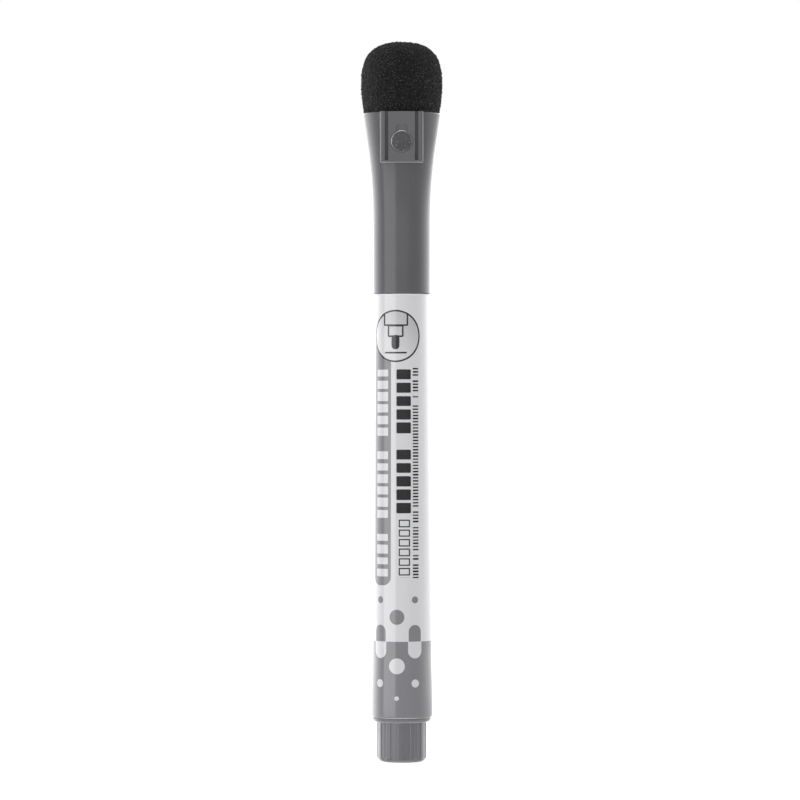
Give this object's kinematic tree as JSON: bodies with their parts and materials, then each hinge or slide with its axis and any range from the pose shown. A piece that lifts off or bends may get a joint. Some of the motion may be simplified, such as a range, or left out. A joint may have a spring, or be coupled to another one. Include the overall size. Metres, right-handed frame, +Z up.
{
  "type": "whiteboard marker",
  "caption": "Slim dry-erase marker with a bullet nib, a pull-off flared cap that carries a disc magnet in a flat pad and a felt eraser, and a fluted end plug.",
  "frame": {"origin": "centre of the end plug's flat end, which the marker stands on", "axes": "+Z up the marker's axis, from the end plug to the eraser; -Y out of the magnet pad"},
  "size_m": [0.0148, 0.0149, 0.13],
  "materials": {
    "barrel": "gloss white polypropylene",
    "film": "gloss printed film, white with grey and black marks",
    "grey_plastic": "gloss mid-grey polypropylene",
    "fibre": "bundled polyester fibre soaked with black ink",
    "wrap": "clear polypropylene film",
    "nib": "pressed fibre, inked black",
    "inner_cap": "natural soft polyethylene",
    "magnet": "nickel-plated, scuffed",
    "felt": "dense black felt"
  },
  "bodies": {
    "barrel": {"barrel": "barrel", "printed_film": "film", "end_plug": "grey_plastic", "ink_reservoir": "fibre", "reservoir_wrap": "wrap", "nib": "nib"},
    "inner_cap": {"inner_cap": "inner_cap"},
    "cap": {"cap_shell": "grey_plastic", "magnet": "magnet", "eraser": "felt"}
  },
  "joints": [
    {"name": "cap_pull", "type": "slide", "parent": "barrel", "child": "inner_cap", "axis": [0, 0, 1], "range_m": [0, 0.026]},
    {"name": "cap_twist", "type": "hinge", "parent": "inner_cap", "child": "cap", "pos_m": [0, 0, 0.0844], "axis": [0, 0, 1], "continuous": true}
  ]
}
